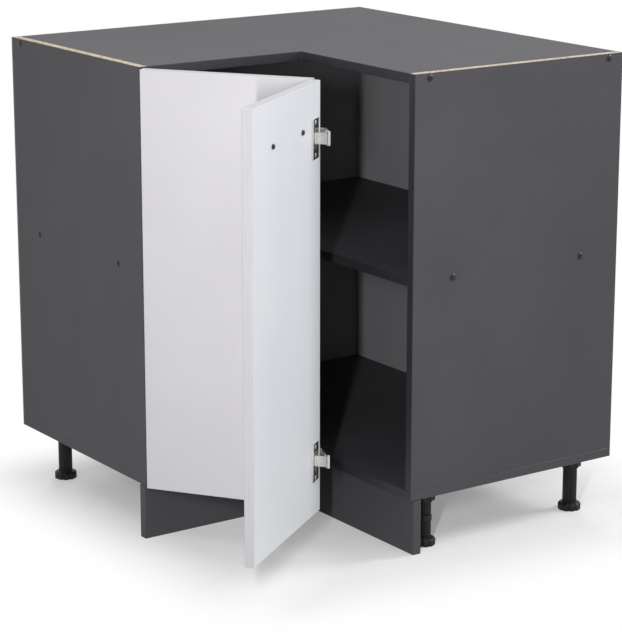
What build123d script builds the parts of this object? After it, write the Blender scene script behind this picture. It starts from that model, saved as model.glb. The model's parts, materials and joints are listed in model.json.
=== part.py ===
"""Corner base cabinet with a folding pair of doors.

An L-shaped carcass of melamine-faced chipboard stands on six screw feet behind two plinth boards.
Leaf A hangs on the left side panel, leaf B folds on leaf A. Both pairs of cup hinges are remote-centre
hinges: an arm, a crank, a coupler and a cup form a parallelogram, so that the leaf turns about a line
where no pin can stand.

Millimetres. +Z is up, the floor is z = 0 and the two room walls are the planes x = 0 and y = 0.
The left wing runs along -X, the right wing along -Y.
"""

import os
from math import atan2, cos, degrees, hypot, pi, radians, sin

from build123d import *

# Carcass
wing_length = 760.0          # each wing, from the back corner to its outer face
wing_depth = 440.0           # each wing, back panel included
carcass_height = 716.0
board = 16.0                 # chipboard thickness
back_board = 3.0             # hardboard back panels
shelf_centre = 373.0         # above the carcass underside
shelf_setback = 2.0          # behind the carcass front
edge_ease = 0.6              # broken edges of the edge banding

# Plinth and legs
leg_height = 96.0            # floor to carcass underside
plinth_gap = 1.0             # plinth top to carcass underside
plinth_setback = 6.0
joint_plate_length = 46.0
joint_plate_thick = 2.0
joint_plate_height = 40.0
left_leg_inset = 53.0        # leg axis from the left wing's outer face
right_leg_inset = 37.0       # leg axis from the right wing's outer face
back_leg_inset = 59.0        # leg axis from the wall
front_leg_inset = 56.0       # leg axis from the carcass front
tube_radius = 12.5
tube_flutes = 14
flute_depth = 1.1
foot_radius = 20.0
foot_thick = 12.5
foot_hub_radius = 15.0
foot_hub_height = 2.5
foot_notches = 10
foot_notch_depth = 2.0
foot_bevel = 2.5
stem_radius = 5.0
stem_length = 55.0
socket_radius = 19.5
socket_height = 17.0
socket_flange_radius = 24.0
socket_flange_thick = 3.5
peg_radius = 5.0
peg_length = 11.0
peg_spacing = 30.0
clip_height = 11.0
clip_drop = 24.0             # plinth clip below the socket
clip_wall = 2.5
clip_plate_width = 40.0
clip_plate_thick = 3.0

# Doors, as they stand when closed
door = 16.0                  # leaf thickness
door_end_gap = 1.5           # above and below the leaves
door_gap = 5.0               # leaf to carcass front
door_reveal = 3.0            # outer face of a wing to the leaf's edge
leaf_joint_gap = 1.5         # leaf B's end to the fold axis
door_ease = 0.8
opening_shown = 55.0         # degrees that leaf A stands open
hinge_from_end = 90.0        # hinge middle from the top or bottom of a leaf

# Hinges
axis_from_edge = 1.9         # leaf A's swing axis, in from its edge
axis_below_face = 2.4        # and below its inner face
cup_bore_radius = 17.5
cup_bore_depth = 12.5
cup_edge_distance = 22.5     # bore middle from the leaf's edge
cup_depth = 11.5
cup_wall = 1.2
cup_pivot_offset = 4.5       # cup pin from the bore middle, towards the edge
cup_pivot_depth = 2.0        # cup pin below the leaf's face
rim_relief = 1.5             # rim cut down where the coupler passes over it
cheek_width = 8.0
ear_length = 64.0
ear_width = 13.0
ear_waist = 12.2             # the ears widen towards the edge between their screws
ear_thick = 1.2
ear_screw_margin = 6.0      # screw from the tip of an ear
ear_screw_offset = 3.0       # screws from the bore middle, away from the edge
swing_coupler = 34.0         # pin to pin
swing_coupler_angle = 22.5   # degrees from leaf A's face when closed
fold_coupler = 22.0
fold_coupler_angle = 7.5     # degrees from leaf B's normal when closed
pin_radius = 1.5
link_eye = 3.0
link_half_width = 9.2        # arm and coupler, from the middle of the hinge
coupler_bar = 3.2
coupler_wall = 1.4
crank_plate = 1.6
link_gap = 0.3               # between neighbouring link plates
arm_height = 9.0
arm_wall = 1.6
arm_eye = 3.2
rib_gap = 0.2                # plate rib inside the arm
plate_height = 3.0
plate_front = 20.0           # plate from the edge that carries it
plate_length = 44.0
plate_wing_length = 52.0
plate_wing_width = 14.0
plate_wing_thick = 2.0
plate_screw_line = 37.0      # screw row from the edge
plate_screw_spacing = 32.0
arm_screw_line = 53.0        # arm screw from the edge
swing_knee = 20.0            # where the arm bends towards its pin
fold_knee = -14.0

# Handle on leaf B
handle_spacing = 128.0
handle_from_joint = 146.0    # middle of the handle from the fold axis
handle_below_top = 71.0
handle_reach = 32.0          # leaf to the middle of the bar
handle_thick = 9.0
handle_width = 12.0
handle_ease = 1.5
handle_bend = 14.0
handle_screw_radius = 2.0
handle_thread = 12.0

# Fasteners
cap_radius = 6.3
cap_height = 2.4
screw_radius = 3.4
screw_head_radius = 4.8
screw_head_depth = 4.0
screw_length = 50.0
top_screw_inset = 30.0       # from the front and the back of a wing
shelf_screw_inset = 82.0
dowel_radius = 4.0
dowel_length = 30.0
small_screw_radius = 1.8
small_head_radius = 3.6
small_head_height = 1.6
small_screw_length = 11.0

# Turned pieces are prisms of this many sides, which keeps the model light
turned_sides = 10
hidden_sides = 6             # shanks, pegs, dowels and the holes round pins
cup_sides = 20
socket_sides = 16            # leg sockets and plinth clips

# Clearances
hole_clearance = 0.1         # fasteners, cups and pegs in their holes
pin_clearance = 0.08         # links on their pins
pin_seat = 0.02              # pins in what holds them
stem_clearance = 0.4

# Levels and planes worked out from the above
under = leg_height
plinth_height = leg_height - plinth_gap
top = leg_height + carcass_height
bottom_top = under + board
shelf_low = under + shelf_centre - board / 2
door_low = under + door_end_gap
door_high = top - door_end_gap
hinge_levels = (door_low + hinge_from_end, door_high - hinge_from_end)
leaf_face = -(wing_depth + door_gap)             # inner face of either leaf, closed
leaf_front = leaf_face - door                    # outer face of either leaf, closed
leaf_end = -(wing_length - door_reveal)          # outer edge of either leaf, closed
plinth_face = -(wing_depth - plinth_setback)

# Layers of the hinge links, from the middle of the hinge outwards
crank_low = link_half_width + link_gap
crank_high = crank_low + crank_plate
cup_slot = link_half_width + link_gap
cup_pin_half = cup_bore_radius - hole_clearance - 2 * cup_wall


# Small helpers

def block(x0, y0, z0, x1, y1, z1):
    """Box between two corners."""
    return Pos(x0, y0, z0) * Box(x1 - x0, y1 - y0, z1 - z0, align=(Align.MIN,) * 3)


def eased(solid, size):
    """The same board with all its edges broken."""
    return chamfer(solid.edges(), size)


def cylinder(x, y, z0, z1, radius):
    """Upright cylinder."""
    return Pos(x, y, z0) * Cylinder(radius, z1 - z0, align=(Align.CENTER, Align.CENTER, Align.MIN))


def rod(x, y, z0, z1, radius, sides=turned_sides):
    """Upright turned piece, many-sided with its corners at radius."""
    return Pos(x, y, z0) * extrude(RegularPolygon(radius, sides), z1 - z0)


def bore(x, y, z0, z1, radius, sides=turned_sides):
    """Upright hole round a turned piece, many-sided with its flats at radius."""
    return Pos(x, y, z0) * extrude(RegularPolygon(radius, sides, major_radius=False), z1 - z0)


def strap(p, q, radius, z0, z1):
    """Plate with round ends over the points p and q, lying level."""
    lean = atan2(q[1] - p[1], q[0] - p[0])
    step = pi / (turned_sides // 2)
    outline = []
    for centre, start in ((q, lean - pi / 2), (p, lean + pi / 2)):
        for k in range(turned_sides // 2 + 1):
            angle = start + k * step
            outline.append((centre[0] + radius * cos(angle), centre[1] + radius * sin(angle)))
    return Pos(0, 0, z0) * extrude(make_face(Polyline(*outline, close=True)), z1 - z0)


def turned(shape, centre, angle):
    """Turned about an upright line through centre; a positive angle opens a leaf."""
    return Pos(centre[0], centre[1], 0) * Rot(0, 0, -angle) * Pos(-centre[0], -centre[1], 0) * shape


def turned_point(point, centre, angle):
    turn = radians(-angle)
    dx, dy = point[0] - centre[0], point[1] - centre[1]
    return (centre[0] + dx * cos(turn) - dy * sin(turn), centre[1] + dx * sin(turn) + dy * cos(turn))


def swapped(shape):
    """Mirror image in the vertical plane between the two wings."""
    return mirror(shape, Plane(origin=(0, 0, 0), z_dir=(1, -1, 0)))


def group(solids):
    """Separate solids kept in one node."""
    return Compound(children=list(solids))


# Fasteners of the carcass: each is a place and a direction, shared by screws, holes and caps

top_level = top - board / 2
shelf_level = shelf_low + board / 2
front_top = (wing_depth - top_screw_inset, top_level)
left_screws = [(top_screw_inset, top_level)]
left_screws += [(inset, shelf_level) for inset in (shelf_screw_inset, wing_depth - shelf_screw_inset)]
right_screws = left_screws + [front_top]
right_dowels = [(wing_depth / 2, top_level), (wing_depth / 2, shelf_level)]
left_dowels = right_dowels + [front_top]         # no cap shows at the left panel's upper front corner
base_screws = [top_screw_inset, wing_depth - top_screw_inset]
base_dowel = wing_depth / 2


def screw(clearance=0.0):
    """Connecting screw along +Z with its head's face at z = 0."""
    shank = rod(0, 0, 0, screw_length + clearance, screw_radius + clearance, hidden_sides)
    return shank + rod(0, 0, 0, screw_head_depth + clearance, screw_head_radius + clearance)


def dowel(clearance=0.0):
    """Beech dowel along Z, centred on the joint."""
    reach = dowel_length / 2 + clearance
    return rod(0, 0, -reach, reach, dowel_radius + clearance, hidden_sides)


def side_joints(screw_places, dowel_places, clearance=0.0):
    """Screws and dowels of a side panel, drawn on the left: through its face, and up from below."""
    inwards = Rot(0, 90, 0)
    screws = [Pos(-wing_length, -y, z) * inwards * screw(clearance) for y, z in screw_places]
    middle = board / 2 - wing_length
    screws += [Pos(middle, -y, under) * screw(clearance) for y in base_screws]
    joint = board - wing_length
    dowels = [Pos(joint, -y, z) * inwards * dowel(clearance) for y, z in dowel_places]
    dowels.append(Pos(middle, -base_dowel, bottom_top) * dowel(clearance))
    return screws, dowels


def joint_holes(screw_places, dowel_places):
    """Holes for the fasteners of a side panel, drawn on the left."""
    screws, dowels = side_joints(screw_places, dowel_places, hole_clearance)
    return screws + dowels


def drilled(level_board):
    """A level board with the holes of both side panels' fasteners."""
    right_holes = [swapped(hole) for hole in joint_holes(right_screws, right_dowels)]
    return level_board - joint_holes(left_screws, left_dowels) - right_holes


def screw_cap():
    """Cover cap standing on z = 0, domed in steps."""
    rims = [(0, 1.0), (0.6, 0.9), (1.0, 0.5)]
    rings = [Pos(0, 0, rise * cap_height) * RegularPolygon(share * cap_radius, turned_sides)
             for rise, share in rims]
    return loft(rings, ruled=True)


def screw_caps(screw_places):
    """Cover caps on the screws of a side panel, drawn on the left."""
    outwards = Rot(0, -90, 0)
    return [Pos(-wing_length, -y, z) * outwards * screw_cap() for y, z in screw_places]


# Carcass boards

def l_board(end, front, back, z0, z1):
    """L-shaped board: both wings reach to end, are open at front and close at back."""
    outline = Polyline((-end, -back), (-back, -back), (-back, -end), (-front, -end),
                       (-front, -front), (-end, -front), close=True)
    return Pos(0, 0, z0) * eased(extrude(make_face(outline), z1 - z0), edge_ease)


def bottom_panel():
    body = drilled(l_board(wing_length, wing_depth, back_board, under, bottom_top))
    return body - [leg_pegs(x, y, hole_clearance) for x, y in leg_axes.values()]


def top_panel():
    return drilled(l_board(wing_length - board, wing_depth, back_board, top - board, top))


def shelf():
    end, front = wing_length - board, wing_depth - shelf_setback
    return drilled(l_board(end, front, back_board, shelf_low, shelf_low + board))


def side_panel(screw_places, dowel_places):
    """Side panel with the holes of its joints, drawn on the left."""
    body = block(-wing_length, -wing_depth, bottom_top, board - wing_length, -back_board, top)
    return eased(body, edge_ease) - joint_holes(screw_places, dowel_places)


def left_side_panel():
    return side_panel(left_screws, left_dowels) - swing_plate_screws(hole_clearance)


def right_side_panel():
    return swapped(side_panel(right_screws, right_dowels))


def back_panel_left():
    return block(-wing_length, -back_board, under, 0, 0, top)


def back_panel_right():
    return block(-back_board, -wing_length, under, 0, -back_board, top)


# Plinth boards: the right one runs through, the left one butts against it

plinth_back = plinth_face + board


def plinth_left():
    return eased(block(-wing_length, plinth_face, 0, plinth_face, plinth_back, plinth_height), edge_ease)


def plinth_right():
    return eased(block(plinth_face, -wing_length, 0, plinth_back, plinth_back, plinth_height), edge_ease)


def plinth_joint_plate():
    """Flat plate across the butt joint, behind the plinth."""
    low = (plinth_height - joint_plate_height) / 2
    end = plinth_back - edge_ease
    return block(end - joint_plate_length, plinth_back, low, end, plinth_back + joint_plate_thick,
                 low + joint_plate_height)


# Legs: a socket pegged into the carcass, a fluted tube and a foot that screws out of the tube

leg_axes = {
    "left_back": (left_leg_inset - wing_length, -back_leg_inset),
    "left_front": (left_leg_inset - wing_length, front_leg_inset - wing_depth),
    "back_corner": (-back_leg_inset, -back_leg_inset),
    "inner_corner": (front_leg_inset - wing_depth, front_leg_inset - wing_depth),
    "right_back": (-back_leg_inset, right_leg_inset - wing_length),
    "right_front": (front_leg_inset - wing_depth, right_leg_inset - wing_length),
}
tube_low = foot_thick + foot_hub_height
tube_high = under - socket_flange_thick


def leg_pegs(x, y, clearance=0.0):
    pegs = [rod(x, y + side * peg_spacing / 2, under - clearance, under + peg_length + clearance,
                peg_radius + clearance, hidden_sides) for side in (-1, 1)]
    return pegs[0] + pegs[1]


def ring_outline(radius, count, steps):
    """Closed outline of count equal teeth; steps are shares of a tooth's turn and depths below radius."""
    points = []
    for tooth in range(count):
        for share, depth in steps:
            angle = 2 * pi * (tooth + share) / count
            points.append(((radius - depth) * cos(angle), (radius - depth) * sin(angle)))
    return make_face(Polyline(*points, close=True))


def leg_socket(x, y):
    body = rod(0, 0, -socket_flange_thick, 0, socket_flange_radius, socket_sides)
    body += rod(0, 0, -socket_height, 0, socket_radius, socket_sides)
    body -= bore(0, 0, -socket_height, tube_high - under, tube_radius + hole_clearance)
    return Pos(x, y, under) * body + leg_pegs(x, y)


def leg_tube(x, y):
    section = ring_outline(tube_radius, tube_flutes, [(0, 0), (0.55, 0), (0.78, flute_depth)])
    stem_bore = bore(0, 0, 0, stem_length + stem_clearance, stem_radius + stem_clearance)
    return Pos(x, y, tube_low) * (extrude(section, tube_high - tube_low) - stem_bore)


def leg_foot(x, y):
    notch = foot_notch_depth
    rim = ring_outline(foot_radius, foot_notches, [(0, 0), (0.6, 0), (0.66, notch), (0.94, notch)])
    body = extrude(rim, foot_thick - foot_bevel)
    shoulder = RegularPolygon(foot_radius - 1.5 * notch, foot_notches)
    body += Pos(0, 0, foot_thick - foot_bevel) * extrude(shoulder, foot_bevel, taper=45)
    body += rod(0, 0, foot_thick - foot_bevel, tube_low, foot_hub_radius - foot_bevel)
    return Pos(x, y, 0) * (body + rod(0, 0, tube_low, tube_low + stem_length, stem_radius))


def right_plinth_clip(x, y):
    """Ring snapped round a leg tube, with a plate against the plinth that faces -X."""
    high = under - socket_height - clip_drop
    low = high - clip_height
    ring = rod(x, y, low, high, tube_radius + clip_wall, socket_sides)
    ring += block(plinth_back, y - clip_plate_thick, low, x, y + clip_plate_thick, high)
    ring -= bore(x, y, low, high, tube_radius + hole_clearance, socket_sides)
    ring -= block(x + tube_radius / 2, y - tube_radius, low, x + 2 * tube_radius, y + tube_radius, high)
    half = clip_plate_width / 2
    return ring + block(plinth_back, y - half, low, plinth_back + clip_plate_thick, y + half, high)


def plinth_clips():
    x, y = leg_axes["left_front"]
    return group([right_plinth_clip(*leg_axes["right_front"]), swapped(right_plinth_clip(y, x))])


# Hinge geometry with the doors closed. A hinge turns its leaf about an axis without a pin.
# Its own pins are a, from arm to crank, m, from crank to coupler, and c, from coupler to cup.

swing_axis = (leaf_end + axis_from_edge, leaf_face - axis_below_face)
fold_axis = (leaf_front, leaf_front)
swing_cup = (leaf_end + cup_edge_distance, leaf_face)
fold_cup = (leaf_face, leaf_front - leaf_joint_gap - cup_edge_distance)


def parallelogram(axis, cup_pin, length, angle):
    """Arm pin and crank pin that keep cup_pin at its distance from axis."""
    dx, dy = length * cos(radians(angle)), length * sin(radians(angle))
    return {"a": (axis[0] + dx, axis[1] + dy), "m": (cup_pin[0] + dx, cup_pin[1] + dy), "c": cup_pin}


swing_pins = parallelogram(swing_axis, (swing_cup[0] - cup_pivot_offset, leaf_face - cup_pivot_depth),
                           swing_coupler, swing_coupler_angle)
fold_pins = parallelogram(fold_axis, (leaf_face - cup_pivot_depth, fold_cup[1] + cup_pivot_offset),
                          fold_coupler, fold_coupler_angle)

# Frames: x runs away from the hinge edge, y is upright, z leaves the face
swing_cup_frame = Plane(origin=(*swing_cup, 0), x_dir=(1, 0, 0), z_dir=(0, 1, 0))
fold_cup_frame = Plane(origin=(*fold_cup, 0), x_dir=(0, -1, 0), z_dir=(1, 0, 0))
swing_base = Plane(origin=(board - wing_length, -wing_depth, 0), x_dir=(0, 1, 0), z_dir=(1, 0, 0))
fold_base = Plane(origin=(leaf_front, leaf_face, 0), x_dir=(-1, 0, 0), z_dir=(0, 1, 0))


def at_levels(shape):
    """A hinge piece made at z = 0, once for each hinge of a leaf."""
    return [Pos(0, 0, level) * shape for level in hinge_levels]


def spread(frame, solids):
    """Several pieces of one hinge, brought from their frame to both hinges."""
    return [piece for solid in solids for piece in at_levels(frame * solid)]


def cup():
    """Hinge cup in its own frame: shell, two ears and the cheeks that hold the pin."""
    outer = cup_bore_radius - hole_clearance
    half = ear_length / 2
    tip_low, tip_high = ear_screw_offset - ear_width / 2, ear_screw_offset + ear_width / 2
    ears = Polyline((tip_low, half), (tip_high, half), (tip_high, -half), (tip_low, -half),
                    (-ear_waist, -ear_waist), (-ear_waist, ear_waist), close=True)
    body = rod(0, 0, -cup_depth, 0, outer, cup_sides) + extrude(make_face(ears), ear_thick)
    body -= rod(0, 0, cup_wall - cup_depth, ear_thick, outer - cup_wall, cup_sides)
    inside = rod(0, 0, -cup_depth, ear_thick, outer - cup_wall / 2, cup_sides)
    low, high = -cup_pivot_offset - cheek_width / 2, cheek_width / 2 - cup_pivot_offset
    cheeks = block(low, -outer, -cup_depth, high, outer, ear_thick)
    cheeks -= block(low, -cup_slot, cup_wall - cup_depth, high, cup_slot, ear_thick)
    body += cheeks & inside
    body -= block(-outer, -cup_slot, -rim_relief, low, cup_slot, ear_thick)
    return body - (cup_pin(outer, pin_seat) & inside) - cup_screws(hole_clearance)


def cup_pin(half, clearance=0.0):
    """Pin across the cup, or its hole."""
    pin = Rot(90, 0, 0) * rod(0, 0, -half, half, pin_radius + clearance)
    return Pos(-cup_pivot_offset, 0, -cup_pivot_depth) * pin


def small_screw(clearance=0.0):
    """Wood screw along -Z whose head sits on z = 0."""
    shank = rod(0, 0, -small_screw_length - clearance, 0, small_screw_radius + clearance, hidden_sides)
    return shank + rod(0, 0, 0, small_head_height, small_head_radius)


def cup_screws(clearance=0.0):
    reach = ear_length / 2 - ear_screw_margin
    return [Pos(ear_screw_offset, y, ear_thick) * small_screw(clearance) for y in (-reach, reach)]


def mounting_plate():
    """Cross-shaped plate in its base frame, with the rib that the arm slides over."""
    start, end = swing_knee + arm_height + rib_gap, plate_front + plate_length
    rib = link_half_width - arm_wall - rib_gap
    body = block(plate_front, -link_half_width, 0, end, link_half_width, plate_height)
    body += block(start, -rib, 0, end, rib, plate_height + arm_height - arm_wall - rib_gap)
    wings = chamfer(Rectangle(plate_wing_width, plate_wing_length).vertices(), plate_wing_width / 3)
    body += Pos(plate_screw_line, 0, 0) * extrude(wings, plate_wing_thick)
    return body - plate_screws(hole_clearance) - arm_screw(hole_clearance)


def plate_screws(clearance=0.0):
    places = [(plate_screw_line, side * plate_screw_spacing / 2, plate_wing_thick) for side in (-1, 1)]
    return [Pos(*place) * small_screw(clearance) for place in places]


def arm_screw(clearance=0.0):
    """Screw that ties the arm to the rib of its plate."""
    seat = plate_height + arm_height
    shank = rod(arm_screw_line, 0, plate_wing_thick - clearance, seat, small_screw_radius + clearance,
                hidden_sides)
    return shank + rod(arm_screw_line, 0, seat, seat + small_head_height, small_head_radius)


def hinge_arm(frame, pin, knee):
    """Arm in its base frame: a channel over the plate's rib, bent at knee to the crank's tongue."""
    tip = frame.to_local_coords(Vector(*pin, 0))
    seat, end = plate_height + arm_height, plate_front + plate_length
    channel = block(knee, -link_half_width, plate_height, end, link_half_width, seat)
    hollow = link_half_width - arm_wall
    channel -= block(knee + arm_height, -hollow, plate_height, end, hollow, seat - arm_wall)
    bend = (knee, seat - arm_height / 2)
    tongue = strap(bend, (tip.X, tip.Z), arm_eye, -link_half_width, link_half_width)
    knuckle = rod(*bend, -link_half_width, link_half_width, arm_height / 2)
    hole = bore(tip.X, tip.Z, -link_half_width, link_half_width, pin_radius + pin_seat, hidden_sides)
    return channel + Rot(90, 0, 0) * (tongue + knuckle - hole) - arm_screw(hole_clearance)


def level_pin(point, half_length):
    return cylinder(*point, -half_length, half_length, pin_radius)


def crank(pins):
    """Two side plates between the arm pin and the crank pin."""
    plates = []
    for low, high in ((crank_low, crank_high), (-crank_high, -crank_low)):
        plate = strap(pins["a"], pins["m"], link_eye, low, high)
        plate -= bore(*pins["a"], low, high, pin_radius + pin_clearance, hidden_sides)
        plates.append(plate - bore(*pins["m"], low, high, pin_radius + pin_seat, hidden_sides))
    return plates


def coupler(pins):
    """Channel with an eye at each end; its web lies on the side away from the arm."""
    m, c = pins["m"], pins["c"]
    length = hypot(m[0] - c[0], m[1] - c[1])
    wide, half = link_half_width, coupler_bar / 2
    body = block(0, -half, -wide, length, half, wide)
    inner = wide - coupler_wall
    body -= block(link_eye, coupler_wall - half, -inner, length - link_eye, half, inner)
    for x in (0, length):
        body += rod(x, 0, -wide, wide, link_eye)
    for x in (0, length):
        body -= bore(x, 0, -wide, wide, pin_radius + pin_clearance, hidden_sides)
    return Pos(*c, 0) * Rot(0, 0, degrees(atan2(m[1] - c[1], m[0] - c[0]))) * body


def swing_plate_screws(clearance=0.0):
    return spread(swing_base, plate_screws(clearance))


# Door leaves, closed

def door_leaf_a():
    leaf = eased(block(leaf_end, leaf_front, door_low, leaf_front, leaf_face, door_high), door_ease)
    seat = swing_cup_frame * rod(0, 0, -cup_bore_depth, cup_bore_depth, cup_bore_radius, cup_sides)
    screws = [swing_cup_frame * item for item in cup_screws(hole_clearance)]
    screws += [fold_base * item for item in plate_screws(hole_clearance)]
    return leaf - [cut for item in [seat, *screws] for cut in at_levels(item)]


def door_leaf_b():
    joint = leaf_front - leaf_joint_gap
    leaf = eased(block(leaf_front, leaf_end, door_low, leaf_face, joint, door_high), door_ease)
    seat = fold_cup_frame * rod(0, 0, -cup_bore_depth, cup_bore_depth, cup_bore_radius, cup_sides)
    screws = [fold_cup_frame * item for item in cup_screws(hole_clearance)]
    leaf -= [cut for item in [seat, *screws] for cut in at_levels(item)]
    return leaf - handle_screws(hole_clearance)


def handle_places():
    level = door_high - handle_below_top
    middle = leaf_front - handle_from_joint
    return [(middle + side * handle_spacing / 2, level) for side in (-1, 1)]


def handle_screws(clearance=0.0):
    """Screws through leaf B, heads on its inner face."""
    screws = []
    for y, z in handle_places():
        reach = door + handle_thread + clearance
        shank = rod(0, 0, -reach, 0, handle_screw_radius + clearance, hidden_sides)
        head = rod(0, 0, 0, small_head_height, small_head_radius)
        screws.append(Pos(leaf_face, y, z) * Rot(0, 90, 0) * (shank + head))
    return screws


def handle():
    """Flat bar handle with broken edges, bent to the leaf's outer face at both ends."""
    (first, level), (last, _) = handle_places()
    out = leaf_front - handle_reach
    path = FilletPolyline((leaf_front, first, level), (out, first, level), (out, last, level),
                          (leaf_front, last, level), radius=handle_bend)
    bar = chamfer(Rectangle(handle_thick, handle_width).vertices(), handle_ease)
    section = Plane(origin=(leaf_front, first, level), x_dir=(0, 1, 0), z_dir=(-1, 0, 0)) * bar
    return sweep(section, path=path) - handle_screws(hole_clearance)


# Poses: leaf A stands open, leaf B square to it as when closed

crank_pin_open = turned_point(swing_pins["m"], swing_pins["a"], opening_shown)
coupler_move = Pos(crank_pin_open[0] - swing_pins["m"][0], crank_pin_open[1] - swing_pins["m"][1], 0)


def with_leaf(solids):
    """Pieces carried by leaf A, at the angle shown."""
    return group(turned(solid, swing_axis, opening_shown) for solid in solids)


def with_crank(solids):
    return group(turned(solid, swing_pins["a"], opening_shown) for solid in solids)


# All pieces

left_side = side_joints(left_screws, left_dowels)
right_side = side_joints(right_screws, right_dowels)

nodes = {
    "bottom_panel": bottom_panel(),
    "top_panel": top_panel(),
    "shelf": shelf(),
    "left_side_panel": left_side_panel(),
    "right_side_panel": right_side_panel(),
    "back_panel_left": back_panel_left(),
    "back_panel_right": back_panel_right(),
    "carcass_screws": group(left_side[0] + [swapped(item) for item in right_side[0]]),
    "carcass_dowels": group(left_side[1] + [swapped(item) for item in right_side[1]]),
    "screw_caps": group(screw_caps(left_screws) + [swapped(item) for item in screw_caps(right_screws)]),
    "plinth_left": plinth_left(),
    "plinth_right": plinth_right(),
    "plinth_joint_plate": plinth_joint_plate(),
    "plinth_clips": plinth_clips(),
    "leg_sockets": group(leg_socket(x, y) for x, y in leg_axes.values()),
    "leg_tubes": group(leg_tube(x, y) for x, y in leg_axes.values()),
    "swing_hinge_plates": group(at_levels(swing_base * mounting_plate())),
    "swing_plate_screws": group(swing_plate_screws()),
    "swing_hinge_arms": group(at_levels(swing_base * hinge_arm(swing_base, swing_pins["a"], swing_knee))),
    "swing_arm_screws": group(at_levels(swing_base * arm_screw())),
    "swing_arm_pins": group(at_levels(level_pin(swing_pins["a"], crank_high))),
    "swing_cranks": with_crank(piece for plate in crank(swing_pins) for piece in at_levels(plate)),
    "swing_crank_pins": with_crank(at_levels(level_pin(swing_pins["m"], crank_high))),
    "swing_couplers": group(coupler_move * piece for piece in at_levels(coupler(swing_pins))),
    "door_leaf_a": with_leaf([door_leaf_a()]),
    "swing_hinge_cups": with_leaf(at_levels(swing_cup_frame * cup())),
    "swing_cup_screws": with_leaf(spread(swing_cup_frame, cup_screws())),
    "swing_cup_pins": with_leaf(at_levels(swing_cup_frame * cup_pin(cup_pin_half))),
    "fold_hinge_plates": with_leaf(at_levels(fold_base * mounting_plate())),
    "fold_plate_screws": with_leaf(spread(fold_base, plate_screws())),
    "fold_hinge_arms": with_leaf(at_levels(fold_base * hinge_arm(fold_base, fold_pins["a"], fold_knee))),
    "fold_arm_screws": with_leaf(at_levels(fold_base * arm_screw())),
    "fold_arm_pins": with_leaf(at_levels(level_pin(fold_pins["a"], crank_high))),
    "fold_cranks": with_leaf(piece for plate in crank(fold_pins) for piece in at_levels(plate)),
    "fold_crank_pins": with_leaf(at_levels(level_pin(fold_pins["m"], crank_high))),
    "fold_couplers": with_leaf(at_levels(coupler(fold_pins))),
    "door_leaf_b": with_leaf([door_leaf_b()]),
    "fold_hinge_cups": with_leaf(at_levels(fold_cup_frame * cup())),
    "fold_cup_screws": with_leaf(spread(fold_cup_frame, cup_screws())),
    "fold_cup_pins": with_leaf(at_levels(fold_cup_frame * cup_pin(cup_pin_half))),
    "handle": with_leaf([handle()]),
    "handle_screws": with_leaf(handle_screws()),
}
for leg, (leg_x, leg_y) in leg_axes.items():
    nodes[f"foot_{leg}"] = leg_foot(leg_x, leg_y)

os.makedirs("parts", exist_ok=True)
for name, shape in nodes.items():
    export_step(shape, f"parts/{name}.step")

places = {
    "swing axis": swing_axis,
    "swing arm pin": swing_pins["a"],
    "swing crank pin": crank_pin_open,
    "fold axis": turned_point(fold_axis, swing_axis, opening_shown),
    "fold arm pin": turned_point(fold_pins["a"], swing_axis, opening_shown),
    "fold crank pin": turned_point(fold_pins["m"], swing_axis, opening_shown),
}
for name, (x, y) in places.items():
    print(f"{name}: x {x:.4f}, y {y:.4f}")
print(f"{len(nodes)} pieces written")
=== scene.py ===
# %% [markdown]
# # A corner base cabinet with a folding pair of doors
#
# The boards, hinges and legs come from CAD as a fixed frame. This lesson gives each of them the finish of
# the real material, and models the small turned, moulded and pressed pieces finer than the CAD has them.
# The lengths of pieces and patterns are written in millimetres, because that is how a cabinet is measured.
# Only the floor and the lamps are in metres.

# %% Load the frame
import json
import math

import bmesh
import bpy
import numpy as np
from mathutils import Matrix, Vector

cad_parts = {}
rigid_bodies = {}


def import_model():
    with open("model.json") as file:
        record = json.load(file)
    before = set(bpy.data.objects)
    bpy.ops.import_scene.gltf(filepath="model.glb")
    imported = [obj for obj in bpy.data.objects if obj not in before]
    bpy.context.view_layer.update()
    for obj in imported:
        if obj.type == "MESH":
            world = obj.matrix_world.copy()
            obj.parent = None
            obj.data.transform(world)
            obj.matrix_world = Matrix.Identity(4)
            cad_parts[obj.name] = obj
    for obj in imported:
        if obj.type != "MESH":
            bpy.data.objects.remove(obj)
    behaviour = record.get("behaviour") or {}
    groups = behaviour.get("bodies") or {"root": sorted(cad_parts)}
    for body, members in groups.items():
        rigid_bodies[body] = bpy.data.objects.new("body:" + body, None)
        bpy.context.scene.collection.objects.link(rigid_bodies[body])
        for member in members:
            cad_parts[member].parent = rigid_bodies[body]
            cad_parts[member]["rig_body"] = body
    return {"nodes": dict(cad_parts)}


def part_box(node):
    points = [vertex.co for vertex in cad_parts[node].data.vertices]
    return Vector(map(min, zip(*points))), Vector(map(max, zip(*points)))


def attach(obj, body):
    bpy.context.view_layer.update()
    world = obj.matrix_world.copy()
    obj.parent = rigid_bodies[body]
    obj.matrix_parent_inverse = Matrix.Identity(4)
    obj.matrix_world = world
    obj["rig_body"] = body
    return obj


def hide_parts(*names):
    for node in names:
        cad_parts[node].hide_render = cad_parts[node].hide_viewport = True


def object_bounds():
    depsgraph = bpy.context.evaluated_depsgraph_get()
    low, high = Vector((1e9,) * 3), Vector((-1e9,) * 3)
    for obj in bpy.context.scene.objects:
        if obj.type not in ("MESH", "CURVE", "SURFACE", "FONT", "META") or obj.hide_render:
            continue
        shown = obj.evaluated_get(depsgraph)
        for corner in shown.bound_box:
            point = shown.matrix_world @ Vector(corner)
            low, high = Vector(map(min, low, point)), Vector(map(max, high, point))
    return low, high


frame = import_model()
cad_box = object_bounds()
nodes = frame["nodes"]
MM = 0.001
bpy.ops.object.select_all(action="DESELECT")
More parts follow.
